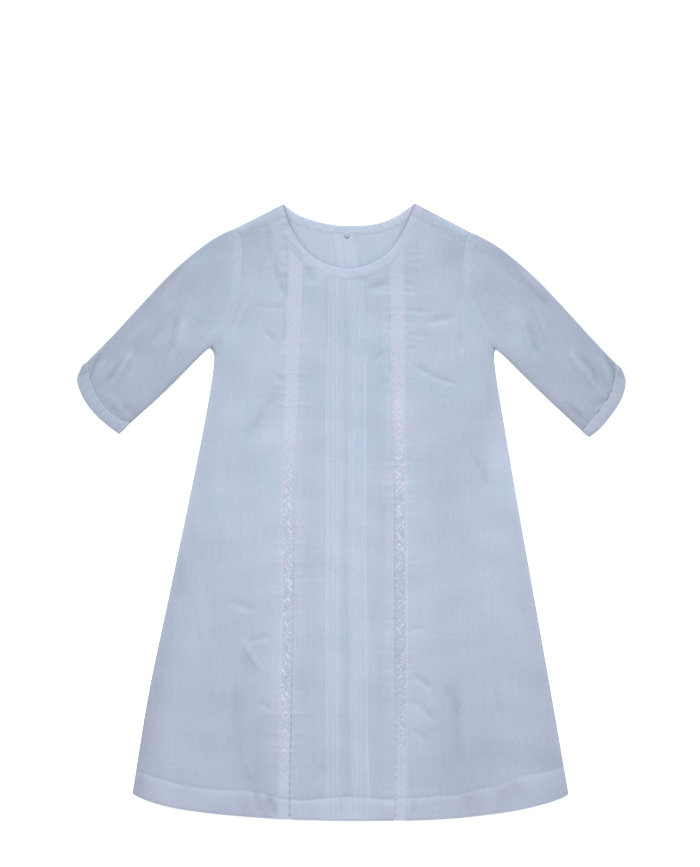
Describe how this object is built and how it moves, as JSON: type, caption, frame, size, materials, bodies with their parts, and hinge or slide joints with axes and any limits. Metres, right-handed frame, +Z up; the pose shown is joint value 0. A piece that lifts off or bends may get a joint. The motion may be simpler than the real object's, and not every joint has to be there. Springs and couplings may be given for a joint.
{
  "type": "baby daygown",
  "caption": "Long-sleeved baby daygown in fine cotton, laid flat, with pintucks between lace insertions, bound neck and cuffs, and a short back opening.",
  "frame": {"origin": "under the middle of the whole gown's box, on the surface that it lies on", "axes": "+X across the gown, to the right in a view of its front; +Y from the hem to the neck; +Z up out of the cloth, from the back to the front"},
  "size_m": [0.4931, 0.556, 0.0048],
  "materials": {
    "cotton": "fine plain-weave batiste, slightly sheer, matt",
    "cotton_doubled": "the same batiste doubled as binding, hem or facing, matt",
    "lace": "cotton insertion lace, open mesh, matt",
    "stud": "small sew-on press stud, dull"
  },
  "bodies": {
    "root": {"back": "cotton", "front_side_left": "cotton", "front_side_right": "cotton", "front_centre": "cotton", "sleeve_left": "cotton", "sleeve_right": "cotton", "tuck_left_outer": "cotton", "tuck_left_second": "cotton", "tuck_left_third": "cotton", "tuck_left_inner": "cotton", "tuck_right_inner": "cotton", "tuck_right_third": "cotton", "tuck_right_second": "cotton", "tuck_right_outer": "cotton", "cuff_left": "cotton_doubled", "cuff_right": "cotton_doubled", "hem_front_left": "cotton_doubled", "hem_front_centre": "cotton_doubled", "hem_front_right": "cotton_doubled", "hem_back": "cotton_doubled", "neck_binding_front": "cotton_doubled", "neck_binding_back_left": "cotton_doubled", "neck_binding_back_right": "cotton_doubled", "opening_underlap": "cotton_doubled", "opening_overlap": "cotton_doubled", "lace_insertion_left": "lace", "lace_insertion_right": "lace", "neck_stud": "stud"}
  },
  "joints": []
}
